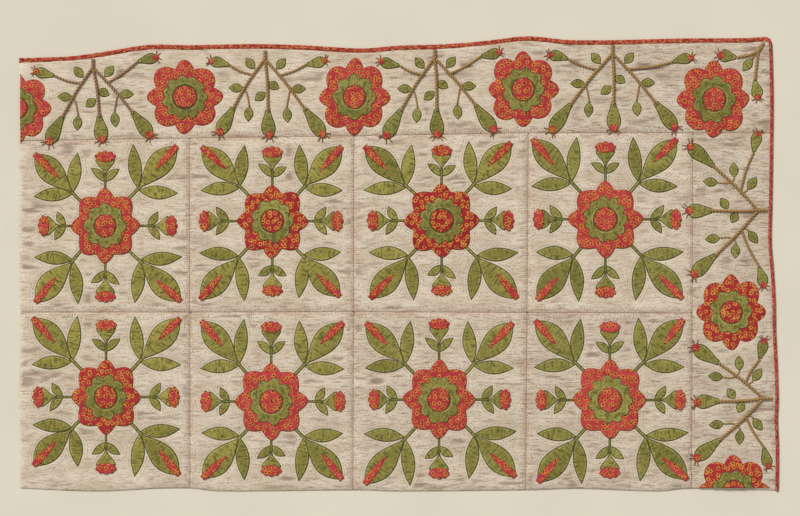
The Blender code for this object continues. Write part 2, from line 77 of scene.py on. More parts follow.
# Each block: its rose's centre, how far the four corner leaves and the four side flowers reach, the
# rose's width and height, and the scallops on its green ring. Then three tones from 0 to 1: how far the
# red leans from crimson to coral, the green from light olive to the border's, and the cream to grey.
BLOCKS = named_rows((
    "centre", "ne", "nw", "sw", "se", "north", "west", "south", "east", "size", "scallops", "red", "green",
    "cream",
), {
    "r1c1": (-0.793 + 0.103j, 0.193 + 0.215j, -0.190 + 0.193j, -0.188 - 0.206j, 0.204 - 0.203j,
             0.201, 0.180, 0.205, 0.193, (0.185, 0.203), 8, 0.60, 0.0, 0.0),
    "r1c2": (-0.342 + 0.116j, 0.187 + 0.201j, -0.190 + 0.200j, -0.194 - 0.211j, 0.182 - 0.203j,
             0.200, 0.197, 0.202, 0.190, (0.191, 0.197), 9, 0.15, 0.2, 0.1),
    "r1c3": (0.115 + 0.117j, 0.187 + 0.210j, -0.207 + 0.200j, -0.193 - 0.209j, 0.204 - 0.209j,
             0.203, 0.200, 0.202, 0.194, (0.199, 0.203), 11, 0.0, 0.35, 0.15),
    "r1c4": (0.557 + 0.121j, 0.192 + 0.216j, -0.197 + 0.216j, -0.184 - 0.217j, 0.208 - 0.214j,
             0.208, 0.194, 0.211, 0.204, (0.197, 0.206), 11, 0.75, 1.0, 0.2),
    "r2c1": (-0.791 - 0.359j, 0.199 + 0.212j, -0.197 + 0.213j, -0.195 - 0.184j, 0.197 - 0.210j,
             0.208, 0.197, 0.207, 0.197, (0.189, 0.202), 9, 0.35, 0.2, 0.2),
    "r2c2": (-0.345 - 0.371j, 0.194 + 0.213j, -0.188 + 0.217j, -0.185 - 0.207j, 0.191 - 0.210j,
             0.215, 0.190, 0.201, 0.199, (0.193, 0.208), 9, 0.80, 0.45, 0.3),
    "r2c3": (0.108 - 0.366j, 0.198 + 0.207j, -0.197 + 0.207j, -0.200 - 0.227j, 0.206 - 0.208j,
             0.218, 0.190, 0.213, 0.193, (0.190, 0.212), 10, 0.65, 0.75, 0.5),
    "r2c4": (0.569 - 0.367j, 0.198 + 0.217j, -0.201 + 0.214j, -0.194 - 0.221j, 0.209 - 0.214j,
             0.211, 0.199, 0.210, 0.204, (0.200, 0.216), 11, 0.85, 0.75, 0.75),
})
# What grows round a block's rose, anticlockwise: a side flower's way, its column and the next corner's
GROWTH = ((1, "east", "ne"), (1j, "north", "nw"), (-1, "west", "sw"), (-1j, "south", "se"))

# The border roses, with the same columns
BORDER_ROSES = named_rows(("centre", "size", "scallops", "red"), {
    "t1": (-1.031 + 0.420j, (0.180, 0.190), 9, 0.9),
    "t2": (-0.578 + 0.451j, (0.204, 0.195), 11, 0.65),
    "t3": (-0.120 + 0.451j, (0.190, 0.204), 8, 0.65),
    "t4": (0.335 + 0.471j, (0.191, 0.200), 9, 0.6),
    "t5": (0.850 + 0.444j, (0.194, 0.210), 9, 0.65),
    "s1": (0.896 - 0.130j, (0.186, 0.198), 9, 0.2),
    "s2": (0.903 - 0.614j, (0.194, 0.194), 9, 0.25),
})
# Further out than any part of the quilt
FAR = 9.0
# The lowest x and y of the roses that the quilt's edge cuts
ROSE_CUTS = {"t1": (-1.022, -FAR), "s2": (-FAR, -0.604)}
CUT_INSET = 0.004

# The bud sprays: root by the binding, the way each grows, and the tips of its five buds, given as
# the distance inward from the root and the distance aside
SPRAYS = named_rows(("root", "forward", "outer_a", "outer_b", "middle", "side_a", "side_b"), {
    "t1": (-0.826 + 0.551j, -1j, 0.228 - 0.122j, 0.209 + 0.158j, 0.223 + 0.025j,
           0.030 - 0.160j, -0.008 + 0.176j),
    "t2": (-0.362 + 0.574j, -1j, 0.225 - 0.126j, 0.231 + 0.160j, 0.234 + 0.012j,
           0.025 - 0.151j, 0.023 + 0.167j),
    "t3": (0.096 + 0.577j, -1j, 0.238 - 0.134j, 0.220 + 0.164j, 0.236 + 0.008j,
           0.029 - 0.150j, 0.004 + 0.180j),
    "t4": (0.576 + 0.589j, -1j, 0.233 - 0.167j, 0.227 + 0.172j, 0.230 + 0.004j,
           0.023 - 0.175j, 0.031 + 0.218j),
    "s1": (0.990 + 0.145j, -1 + 0j, 0.210 - 0.177j, 0.199 + 0.178j, 0.215 + 0.001j,
           0.020 - 0.213j, 0.005 + 0.209j),
    "s2": (1.004 - 0.363j, -1 + 0j, 0.210 - 0.142j, 0.206 + 0.165j, 0.207 + 0.011j,
           0.018 - 0.162j, 0.006 + 0.188j),
})
BUD_START = 0.66
SIDE_BUD_LENGTH = 0.056
SPRAY_FORK = 0.024
# What grows off an outer branch, in the top border and in the side border: the share along it, then
# where foot and tip lie from there
TOP_GROWTH = {
    "low": (0.19, 0.009j, -0.030 + 0.034j),
    "twig": (0.31, 0.009j, None),
    "far": (0.60, 0.006j, 0.047j),
    "inner": (0.75, 0.030 - 0.021j, 0.073 - 0.018j),
}
SIDE_GROWTH = {
    "low": (0.36, -0.016 + 0.011j, -0.041 + 0.046j),
    "twig": (0.38, 0.009j, None),
    "far": (0.60, -0.008 + 0.017j, -0.006 + 0.059j),
    "inner": (0.75, 0.018 - 0.014j, 0.060 - 0.010j),
}
INNER_BEND = -0.0156j
# The leaves of the middle stem: the shares along it of foot and tip, and how far aside the tip lies
MIDDLE_LEAVES = ((0.47, 0.57, -0.034), (0.36, 0.43, 0.034))
CORNER_SPRAY_ROOT = 0.984 + 0.597j

# The side leaves of a block's corner: the shares of its reach, in x and y, where foot and tip lie, and
# how the leaf bends
SIDE_LEAVES = (((0.460, 0.465), (0.39, 1.03), 0.002), ((0.465, 0.445), (1.02, 0.41), -0.002))

# Widths of the green and red pieces
CORNER_STEM_WIDTH = 0.0095
BIG_LEAF_WIDTH = 0.067
SIDE_LEAF_WIDTH = 0.038
SLIP_WIDTH = 0.0220
FLOWER_STEM_WIDTH = 0.0072
FLOWER_LEAF_WIDTH = 0.023
CUP_WIDTH = 0.054
BUD_WIDTH = 0.040
SIDE_BUD_WIDTH = 0.031
SPRAY_LEAF_WIDTH = 0.026

# Radii of the cords, thickest first
ROOT_CORD = 0.0044
STEM_CORD = 0.0038
CORNER_CORD = 0.0034
SIDE_BUD_CORD = 0.0031
CORNER_TWIG_CORD = 0.0024
INNER_CORD = 0.0022
LEAF_CORD = 0.0020
WHISKER_CORD = 0.0014
CORD_STEP = 0.0026
CORD_SIDES = 8
WHISKER_TURNS = (-62, -32, 32, 62)

# A rose's red, its green ring and its red middle: the share of its size at the lobes' tips, and between
# the lobes
ROSE_REACH = (1.01, 0.80)
RING_REACH = (0.625, 0.515)
EYE_REACH = (0.315, 0.30)
EYE_COVER = 0.158
RING_GREEN = 0.8
RING_LIFT = 0.0024
EYE_LIFT = 0.0036

# Heights
BACK_TOP = 0.0026
GROUND_TOP = 0.0050
GROUND_SEAM = 0.0034
LEAF_LOW = 0.0049
ROSE_LOW = 0.0062
BORDER_ROSE_LOW = 0.0050
CLOTH = 0.0011
TURN = 0.0013
TUCK = 0.0007

# The ground's grid
STEP_X = 0.0052
STEP_Y = 0.0026
SEAM_REACH = 0.016
# A panel's side that is turned under at the quilt's edge: how low it rolls, how many turned edges wide
# the roll is, and where its underside ends
ROLL_LOW = 0.0008
ROLL_WIDTH = 2.5
UNDER_ROLL = 0.0010
# The first and last rows of a panel's grid
RIM_ROWS = {"bottom": 0, "top": -1, "left": (slice(None), 0), "right": (slice(None), -1)}
# How far a border panel ends inside the bound edge
UNDER_BINDING = 0.0020

TOP_BINDING_WIDTH = 0.0134
SIDE_BINDING_WIDTH = 0.0094
# The way in from the rounded corner, where the two strips meet
MITRE = cmath.rect(1.06, math.radians(-144.5))

# Stitches, and how far from a bound edge they end
BOUND_STRIP = 0.013
STITCH_LENGTH = 0.0034
STITCH_WIDTH = 0.0022
STITCH_PITCH = 0.0062
STITCH_RISE = 0.0007
ECHO_ROWS = (0.0056, 0.0122)
TICK_LENGTH = 0.0072
TICK_WIDTH = 0.0017
TICK_PITCH = 0.0060
# How far from the seam each row of ticks lies, and the share of its ticks that is sewn
TICK_ROWS = ((0.0065, 0.80), (0.0145, 0.35))

RNG = np.random.default_rng(7)

# The closed rims of all motifs, for the quilting that follows them
OUTLINES = []


# Cloth pieces as points and faces

class Cloth:
    """Collects patches of faces into one mesh. Each point keeps how far it lies from its patch's edge
    and where it lies along and across the patch."""

    def __init__(self):
        self.points = []
        self.faces = []
        self.edge = []
        self.grain = []
        self.total = 0

    def add(self, places, heights, faces, depth, grain=0j):
        self.points.append(np.column_stack([places.real.ravel(), places.imag.ravel(), heights.ravel()]))
        self.edge.append(np.broadcast_to(depth, places.shape).ravel())
        self.grain.append(np.broadcast_to(grain, places.shape).ravel() + RNG.uniform(0, 9))
        self.faces.append(np.asarray(faces) + self.total)
        self.total += places.size

    def build(self, name, material, slot=None, *nodes, tone=0.0):
        """The finished piece. The CAD nodes that it stands for are hidden; slot is not used."""
        points = np.concatenate(self.points)
        grain = np.concatenate(self.grain)
        mesh = bpy.data.meshes.new(name)
        mesh.from_pydata(points, [], [row for block in self.faces for row in block.tolist()])
        keep_values(mesh, "edge_depth", np.concatenate(self.edge))
        keep_values(mesh, "grain", np.column_stack([grain.real, grain.imag, 0 * grain.real]))
        keep_values(mesh, "tone", np.broadcast_to(tone, len(points)))
        mesh.materials.append(material)
        mesh.shade_smooth()
        obj = add_object(name, mesh)
        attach(obj, "root")
        if nodes:
            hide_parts(*nodes)
        return obj


def add_object(name, data):
    obj = bpy.data.objects.new(name, data)
    bpy.context.scene.collection.objects.link(obj)
    return obj


def keep_values(mesh, name, values):
    """Stores one number or vector with each point, for the materials."""
    kind, slot = ("FLOAT", "value") if values.ndim == 1 else ("FLOAT_VECTOR", "vector")
    stored = np.ascontiguousarray(values.ravel(), dtype=np.float32)
    mesh.attributes.new(name, kind, "POINT").data.foreach_set(slot, stored)


def grid_faces(rows, columns, wrap=False):
    """Faces of a grid of points stored row by row. wrap joins each row's end to its start."""
    across = columns if wrap else columns - 1
    i, j = np.meshgrid(np.arange(rows - 1), np.arange(across), indexing="ij")
    after = (j + 1) % columns
    a, b = i * columns + j, i * columns + after
    return np.stack([a, b, b + columns, a + columns], axis=-1).reshape(-1, 4)


def turned_edge(depth):
    """The rise of a turned-under edge, from 0 at the fold to 1."""
    return np.sqrt(np.clip(1 - (1 - np.clip(depth / TURN, 0, 1)) ** 2, 0, 1))


def unit(z):
    return z / abs(z)


# The shares of a leaf's or bud's width along it
def leaf_shape(s):
    return np.sin(np.pi * s ** 0.95) ** 0.92


def big_leaf_shape(s):
    return np.maximum(np.sin(np.pi * s ** 1.32) ** 0.80, 0.12 * (1 - s))


def bud_shape(s):
    """A narrow round neck that swells to a blunt end."""
    neck = np.sqrt(1 - (1 - np.clip(s / 0.08, 0, 1)) ** 2)
    end = np.sqrt(1 - np.clip((s - 0.70) / 0.34, 0, 1) ** 2)
    return (0.38 + 0.62 * rise(s, 0.0, 0.70)) * neck * end


def cup_shape(s):
    """A bell: narrow at the stem, then round shoulders."""
    return 0.14 + 0.86 * rise(s, 0.02, 0.96)


def slip_shape(s):
    """A wedge: pointed on the leaf, wide towards the leaf's tip."""
    return np.sin(np.pi * (0.02 + s * 0.86) ** 1.30) ** 0.65


def strip_shape(s):
    return np.ones_like(s)


ACROSS = np.array([-1.0, -1.0, -0.93, -0.72, -0.38, 0.0, 0.38, 0.72, 0.93, 1.0, 1.0])


def blade(cloth, start, end, width, shape, low=LEAF_LOW, puff=0.0010, bend=0.0, steps=20, outline=True):
    """A leaf, bud, flower or strip of cloth from start to end, sewn down along its turned edge."""
    s = np.linspace(0.0, 1.0, steps)
    length = abs(end - start)
    across = 1j * unit(end - start)
    spine = start + (end - start) * s + across * bend * np.sin(np.pi * s)
    half = np.maximum(width / 2 * shape(s), 0.0004)
    places = spine[:, None] + across * half[:, None] * ACROSS[None, :]
    aside = half[:, None] * (1 - np.abs(ACROSS))[None, :]
    ends = np.minimum(s, 1 - s)[:, None] * length
    ends = np.where(half[:, None] > 0.25 * width, np.minimum(ends * 1.5, 1.0), ends)
    depth = np.minimum(aside, ends + 0 * aside)
    heights = low + CLOTH * turned_edge(depth) + puff * (1 - np.exp(-depth / 0.006))
    heights[:, [0, -1]] = low - TUCK
    grain = s[:, None] * length + 1j * half[:, None] * ACROSS[None, :]
    cloth.add(places, heights, grid_faces(steps, ACROSS.size), depth, grain)
    if outline:
        OUTLINES.append(np.concatenate([places[::-1, -2], places[:, 1]]))


RING_SHARES = np.array([1.0, 1.0, 0.985, 0.95, 0.88, 0.74, 0.60, 0.53, 0.36, 0.20, 0.03])


def disc(cloth, centre, rim, low, puff=0.0012, dome=0.010, outline=True, high=0.0, covered=None):
    """A round patch with the given rim, as offsets from its centre. covered is the centre and radius of the
    patch that is sewn over it; the edge depth drops to 0 at that patch's rim, so the material paints a thin
    shadow line round it."""
    offsets = RING_SHARES[:, None] * rim[None, :]
    places = centre + offsets
    depth = (1 - RING_SHARES)[:, None] * np.abs(rim)[None, :]
    heights = low + CLOTH * turned_edge(depth) + puff * (1 - np.exp(-depth / dome))
    heights = heights + high * (1 - RING_SHARES ** 2)[:, None]
    heights[0] = low - TUCK
    faces = grid_faces(RING_SHARES.size, rim.size, wrap=True)
    # Painted shadow: near the covering patch's rim the edge depth is small, so a thin dark line is painted
    # there.
    if covered:
        depth = np.minimum(depth, np.maximum(np.abs(places - covered[0]) - covered[1], 0))
    cloth.add(places, heights, faces, depth, 0.5 * offsets.real + 1.6j * offsets.imag)
    if outline:
        OUTLINES.append(centre + rim)


# How every other lobe swells: its power and how hollow its sides are. A block's rose has soft points at
# the top, bottom and sides and squarer ones between, a border's has rounder lobes.
BLOCK_LOBES = ((1.5, 1.10), (1.5, 1.35))
BORDER_LOBES = ((1.7, 1.05), (1.8, 1.0))
RING_LOBES = ((1.7, 1.05),)
EYE_LOBES = ((1.9, 0.75),)
POINT_LEAN = 0.060
WOBBLE = 0.034
RIM_STEPS = 96


def lobed_rim(size, reach, swell, lobes=8, lean=0.0):
    """Offsets of a scalloped rim. reach is the share of the size at the lobes' tips and between them.
    Each lobe has its own size, as cut by hand. lean narrows the lobes at the top, bottom and sides."""
    angle = np.linspace(0, 2 * np.pi, RIM_STEPS, endpoint=False)
    share = (angle + lean * np.sin(4 * angle)) / (2 * np.pi) * lobes + 0.5
    index = np.floor(share).astype(int) % lobes
    phase = 2 * (share - np.floor(share)) - 1
    power, roundness = np.array(swell).T[:, index % len(swell)]
    peak, valley = reach
    peak = peak * (1 + WOBBLE * RNG.uniform(-1, 1, lobes))[index]
    rise_in_lobe = (1 - np.abs(phase) ** power) ** roundness
    radius = valley + (peak - valley) * rise_in_lobe
    turned = angle + 1.2 * WOBBLE * RNG.uniform(-1, 1, lobes)[index] * rise_in_lobe
    return radius / 2 * (np.cos(turned) * size[0] + 1j * np.sin(turned) * size[1])


# Flowers

def rose(name, row, low, lobes, materials):
    """The red rosette, the green ring on it, and the red middle sewn over that."""
    centre = row["centre"]
    low_x, low_y = ROSE_CUTS.get(name, (-FAR, -FAR))
    middle = complex(max(centre.real, low_x + CUT_INSET), max(centre.imag, low_y + CUT_INSET))

    def rim(*shape):
        places = centre + lobed_rim(row["size"], *shape)
        return np.maximum(places.real, low_x) + 1j * np.maximum(places.imag, low_y) - middle

    red, green, eye = Cloth(), Cloth(), Cloth()
    covered = (centre, EYE_COVER * row["size"][0])
    disc(red, middle, rim(ROSE_REACH, lobes, 8, POINT_LEAN), low, puff=0.0016, high=0.0004)
    disc(green, middle, rim(RING_REACH, RING_LOBES, row["scallops"]), low + RING_LIFT, puff=0.0006,
         outline=False, covered=covered)
    disc(eye, middle, rim(EYE_REACH, EYE_LOBES), low + EYE_LIFT, outline=False, high=0.0008)
    return [
        red.build(f"rosette_{name}", materials["red"], "red", f"rose_{name}", tone=row["red"]),
        green.build(f"ring_{name}", materials["green"], "green", f"heart_{name}", tone=RING_GREEN),
        eye.build(f"middle_{name}", materials["red"], "red", tone=row["red"]),
    ]


def corner_leaves(green, red, centre, reach):
    """The stem, large leaf with its red slip, and two side leaves that grow to one corner of a block."""
    way = unit(reach)
    sway = 0.003 * RNG.uniform(-1, 1)
    blade(green, centre + way * 0.060, centre + reach * 0.49 + way * 0.006, CORNER_STEM_WIDTH, strip_shape,
          puff=0.0004, bend=sway, steps=10)
    blade(green, centre + reach * 0.47, centre + reach, BIG_LEAF_WIDTH, big_leaf_shape, puff=0.0016,
          bend=sway, steps=26)
    for foot, tip, bend in SIDE_LEAVES:
        foot, tip = (centre + complex(x * reach.real, y * reach.imag) for x, y in (foot, tip))
        blade(green, foot, tip, SIDE_LEAF_WIDTH, leaf_shape, bend=bend)
    end = centre + reach * 1.005
    slip = way * cmath.rect(RNG.uniform(0.086, 0.098), RNG.uniform(-0.08, 0.08))
    blade(red, end - slip, end, SLIP_WIDTH, slip_shape, low=LEAF_LOW + 0.0020, puff=0.0006, steps=18,
          outline=False)


def side_flower(green, red, centre, way, reach):
    """The stem, two small leaves, green cup and scalloped red bloom that grow to one side of a block."""
    cup = centre + way * reach * 0.69
    blade(green, centre + way * 0.070, cup + way * 0.004, FLOWER_STEM_WIDTH, strip_shape, puff=0.0003,
          steps=8)
    blade(green, cup, centre + way * (reach - 0.022), CUP_WIDTH, cup_shape, steps=16)
    for side in (-1, 1):
        foot = centre + way * (reach * 0.59 + 1j * side * 0.002)
        tip = centre + way * (reach * (0.75 + RNG.uniform(-0.03, 0.03)) + 1j * side * 0.039)
        blade(green, foot, tip, FLOWER_LEAF_WIDTH, leaf_shape, puff=0.0006, bend=-0.004 * side, steps=14)
    bloom(red, centre + way * (reach - 0.0165), way)


def bloom(cloth, centre, way):
    """A red flower head: flat where it meets the cup, five round scallops on its outer side."""
    angle = np.linspace(0, 2 * np.pi, 80, endpoint=False) + 0.02
    outer = np.cos(angle) > 0
    scallop = np.where(outer, np.abs(np.cos(5 * angle)) ** 0.6, 0.0)
    along = np.cos(angle) * np.where(outer, 0.0135 + 0.0055 * scallop, 0.0125)
    aside = np.sin(angle) * (0.0262 + 0.0036 * scallop)
    disc(cloth, centre, way * (along + 1j * aside), LEAF_LOW + 0.0016, puff=0.0010, dome=0.006)


def block_flowers(name, row, materials):
    """All the green of a block, and the red slips and blooms on it."""
    green, red = Cloth(), Cloth()
    for way, side, corner in GROWTH:
        side_flower(green, red, row["centre"], complex(way), row[side])
        corner_leaves(green, red, row["centre"], row[corner])
    return [
        green.build(f"leaves_{name}", materials["green"], "green", f"foliage_{name}", tone=row["green"]),
        red.build(f"slips_{name}", materials["red"], "red", tone=0.5 + 0.5 * row["red"]),
    ]


def smooth_line(points, step):
    """A smooth line through the points, about evenly stepped."""
    p = np.asarray(points, dtype=complex)
    if p.size == 2:
        return np.linspace(p[0], p[1], max(2, int(abs(p[1] - p[0]) / step) + 1))
    padded = np.concatenate([[2 * p[0] - p[1]], p, [2 * p[-1] - p[-2]]])
    line = []
    for a, b, c, d in zip(padded, padded[1:], padded[2:], padded[3:]):
        t = np.linspace(0, 1, max(2, int(abs(c - b) / step) + 1))[:-1]
        line.append(0.5 * (2 * b + (c - a) * t + (2 * a - 5 * b + 4 * c - d) * t ** 2
                           + (3 * b - a - 3 * c + d) * t ** 3))
    return np.concatenate([*line, [p[-1]]])


def run_along(line):
    """How far along a line each of its places lies."""
    return np.concatenate([[0], np.cumsum(np.abs(np.diff(line)))])


def place_at(line, run, at):
    """Where a line is when it has run so far. run says how far it has at each of its places."""
    return np.interp(at, run, line.real) + 1j * np.interp(at, run, line.imag)


def cord(cloth, path, radius, twist=700.0):
    """A thin cord laid along a path. twist is how fast its strands wind, in radians a metre."""
    line = smooth_line(path, CORD_STEP)
    ahead = np.gradient(line)
    across = 1j * ahead / np.abs(ahead)
    angle = np.linspace(0, 2 * np.pi, CORD_SIDES, endpoint=False)
    crest = np.cos(2 * angle[None, :] - twist * run_along(line)[:, None])
    thick = radius * (1 + (0.24 if twist else 0.0) * crest)
    places = line[:, None] + across[:, None] * np.cos(angle) * thick
    heights = LEAF_LOW + 0.8 * radius + 0.8 * np.sin(angle) * thick
    # The strands' crest is kept as the edge depth, for painted light on the crests and painted shade in the
    # grooves.
    cloth.add(places, heights, grid_faces(line.size, CORD_SIDES, wrap=True), 0.5 + 0.5 * crest)


class Spray:
    """The cloths and cords of one bud spray."""

    def __init__(self):
        self.green, self.red, self.stems, self.hairs = Cloth(), Cloth(), Cloth(), Cloth()

    def bud(self, start, end, width):
        """A pear-shaped green bud with a small red tip and thread whiskers that fan out from it."""
        way = unit(end - start)
        size = width / BUD_WIDTH
        blade(self.green, start, end - way * 0.005, width, bud_shape, puff=0.0016, steps=24,
              bend=RNG.uniform(-0.002, 0.002))
        middle = end - way * 0.009 * size
        angle = np.linspace(0, 2 * np.pi, 36, endpoint=False)
        rim = way * size * 0.0108 * np.exp(1j * angle) * (1 + 0.10 * np.cos(4 * angle))
        disc(self.red, middle, rim, LEAF_LOW + 0.0018, puff=0.0008, dome=0.004)
        for turn in WHISKER_TURNS:
            hair = way * size * cmath.rect(1, math.radians(turn + RNG.uniform(-9, 9)))
            cord(self.hairs, [middle + hair * 0.009, middle + hair * 0.023], WHISKER_CORD, twist=0.0)

    def leaf(self, foot, tip):
        blade(self.green, foot, tip, SPRAY_LEAF_WIDTH, leaf_shape, puff=0.0008, steps=14)

    def pieces(self, name, materials):
        stain = 1.0 if name == "t1" else 0.0
        return [
            self.green.build(f"buds_{name}", materials["green"], "green", f"spray_{name}", tone=1.0),
            self.red.build(f"bud_tips_{name}", materials["red"], "red", tone=0.6),
            self.stems.build(f"stems_{name}", materials["cord"], tone=stain),
            self.hairs.build(f"whiskers_{name}", materials["hair"]),
        ]


def bud_spray(name, row, materials):
    """A bud spray: twisted stems from one fork, with green buds at their ends and leaves between."""
    growth = TOP_GROWTH if name.startswith("t") else SIDE_GROWTH
    spray = Spray()
    middle = row["middle"]

    def at(offset):
        return row["root"] + row["forward"] * offset

    cord(spray.stems, [at(-0.002), at(SPRAY_FORK)], ROOT_CORD)
    neck = middle * BUD_START
    cord(spray.stems, [at(SPRAY_FORK), at(neck * 0.5 + 0.002j), at(neck * 1.05)], STEM_CORD)
    spray.bud(at(neck), at(middle), BUD_WIDTH)
    for foot, tip, aside in MIDDLE_LEAVES:
        hold = math.copysign(0.004, aside)
        spray.leaf(at(middle * foot + hold * 1j), at(middle * tip + aside * 1j))
    branch(spray, at, -1, row["outer_a"], row["side_a"], growth)
    branch(spray, at, 1, row["outer_b"], row["side_b"], growth)
    return spray.pieces(name, materials)


def branch(spray, at, side, far_bud, side_bud, growth):
    """One outer stem of a spray with its end bud, its three leaves, and a twig with a smaller bud."""
    start = complex(SPRAY_FORK, 0.003 * side)
    end = far_bud * BUD_START

    def off(share, shift=0j):
        """A place off the stem: a share along it, then a shift of which plus is outward."""
        return start + (end - start) * share + complex(shift.real, side * shift.imag)

    def lay(places, radius):
        cord(spray.stems, [at(place) for place in places], radius)

    lay([start, off(0.5) + 0.004j * side, end * 1.04], STEM_CORD)
    spray.bud(at(end), at(far_bud), BUD_WIDTH)
    for leaf in ("low", "far"):
        share, foot, tip = growth[leaf]
        lay([off(share), off(share, foot)], LEAF_CORD)
        spray.leaf(at(off(share, foot)), at(off(share, tip)))
    share, elbow, tip = growth["inner"]
    lay([off(share - 0.12), off(share, INNER_BEND), off(share, elbow)], INNER_CORD)
    spray.leaf(at(off(share, elbow)), at(off(share, tip)))
    share, knee, _ = growth["twig"]
    knee = off(share, knee)
    neck = side_bud + complex(0.013, -SIDE_BUD_LENGTH * side)
    lay([off(share - 0.01), knee, (knee + neck) / 2 + 0.004, neck], SIDE_BUD_CORD)
    spray.bud(at(neck), at(side_bud), SIDE_BUD_WIDTH)


def corner_spray(materials):
    """The small sprig in the upper right corner: two buds and a leaf."""
    spray = Spray()
    root = CORNER_SPRAY_ROOT
    fork = root - 0.013 - 0.020j
    side_end = root - 0.073 - 0.040j
    down_end = root - 0.024 - 0.101j
    cord(spray.stems, [root, fork, root - 0.040 - 0.034j, side_end], CORNER_CORD)
    cord(spray.stems, [root - 0.004 - 0.004j, fork - 0.001, root - 0.019 - 0.060j, down_end], CORNER_CORD)
    cord(spray.stems, [fork, fork - 0.019 - 0.024j], CORNER_TWIG_CORD)
    spray.bud(side_end, root - 0.124 - 0.033j, 0.9 * BUD_WIDTH)
    spray.bud(down_end, root - 0.015 - 0.153j, 0.82 * BUD_WIDTH)
    spray.leaf(fork - 0.017 - 0.022j, fork - 0.043 - 0.057j)
    return spray.pieces("corner", materials)


# The quilting follows the motifs: how far each place lies from the nearest one

FIELD_STEP = 0.0025
NOISE_CELLS = 128


def way_round(rim):
    """1 for a closed rim that runs anticlockwise, -1 for one that runs clockwise."""
    return 1 if np.sum((rim.conj() * np.roll(rim, -1)).imag) > 0 else -1


class MotifField:
    """Distance from any place to the nearest motif's outline, negative under a motif."""

    def __init__(self):
        places, normals = [], []
        for rim in OUTLINES:
            closed = np.append(rim, rim[0])
            run = run_along(closed)
            count = max(8, int(run[-1] / FIELD_STEP))
            line = place_at(closed, run, np.linspace(0, run[-1], count, endpoint=False))
            ahead = np.roll(line, -1) - np.roll(line, 1)
            places.append(line)
            normals.append(-1j * way_round(line) * ahead / np.maximum(np.abs(ahead), 1e-9))
        self.places = np.concatenate(places)
        self.normals = np.concatenate(normals)
        self.tree = kdtree.KDTree(self.places.size)
        for i, p in enumerate(self.places):
            self.tree.insert((p.real, p.imag, 0.0), i)
        self.tree.balance()

    def distance(self, places):
        flat = np.asarray(places).ravel()
        found = np.empty(flat.size)
        for k, p in enumerate(flat):
            _, i, gap = self.tree.find((p.real, p.imag, 0.0))
            inside = ((p - self.places[i]) * self.normals[i].conjugate()).real < 0
            found[k] = -gap if inside else gap
        return found.reshape(np.shape(places))


def rise(value, low, high):
    """0 below low, 1 above high, smooth between."""
    return eased(np.clip((value - low) / (high - low), 0, 1))


def eased(t):
    return t * t * (3 - 2 * t)


def value_noise(x, y, seed):
    """Smooth noise from 0 to 1, one cell to each unit of x and y."""
    cells = NOISE_CELLS
    table = np.random.default_rng(seed).random((cells, cells))
    column, row = np.floor(x).astype(int), np.floor(y).astype(int)
    u, v = eased(x - column), eased(y - row)

    def along(row):
        return table[column % cells, row % cells] * (1 - u) + table[(column + 1) % cells, row % cells] * u

    return along(row) * (1 - v) + along(row + 1) * v


def pucker_field(places):
    """How deep the cloth is drawn into its long sideways puckers, from 0 to 1."""
    x, y = places.real, places.imag
    drift = 0.012 * value_noise(x * 9, y * 9, 3)
    coarse = value_noise(x * 17, (y + drift) * 80, 4)
    fine = value_noise(x * 38, (y + drift) * 190, 5)
    where = value_noise(x * 7, y * 15, 6)
    return rise(0.62 * coarse + 0.38 * fine, 0.52, 0.80) * rise(where, 0.25, 0.75)


def surface(places, from_motif, to_seam):
    """How high the quilt top lies, and how deep it is drawn into its puckers."""
    pucker = pucker_field(places) * rise(from_motif, 0.004, 0.014) * rise(to_seam, 0.002, 0.012)
    swell = value_noise(places.real * 16, places.imag * 24, 8) - 0.5
    heights = GROUND_SEAM + (GROUND_TOP - GROUND_SEAM) * rise(to_seam, -0.004, SEAM_REACH)
    free = rise(from_motif, 0.0, 0.010) * rise(to_seam, 0.0, 0.016)
    heights = heights + free * (0.0007 * swell + 0.0008) - 0.0017 * pucker
    return np.where(from_motif < 0.0015, np.minimum(heights, GROUND_TOP - 0.0002), heights), pucker


# Ground: the panels of the quilt top, the backing and the binding

def coons(bottom, top, left, right, columns, rows):
    """A grid of places between four edge lines. bottom and top run along x, left and right along y."""
    u = np.linspace(0, 1, columns)[None, :]
    v = np.linspace(0, 1, rows)[:, None]
    low, high = resample(bottom, columns)[None, :], resample(top, columns)[None, :]
    west, east = resample(left, rows)[:, None], resample(right, rows)[:, None]
    corners = ((1 - u) * (1 - v) * low[0, 0] + u * (1 - v) * low[0, -1]
               + (1 - u) * v * high[0, 0] + u * v * high[0, -1])
    return (1 - v) * low + v * high + (1 - u) * west + u * east - corners


def resample(line, count):
    line = np.asarray(line)
    run = run_along(line)
    return place_at(line, run, np.linspace(0, run[-1], count))


def edge_part(edge, low, high, axis):
    """The part of an outer edge between two of its coordinates, ends put in."""
    line = smooth_line(edge, 0.01)
    along = line.real if axis == "x" else line.imag
    first, last = place_at(line, along, np.array([low, high]))
    return np.array([first, *line[(along > low) & (along < high)], last])


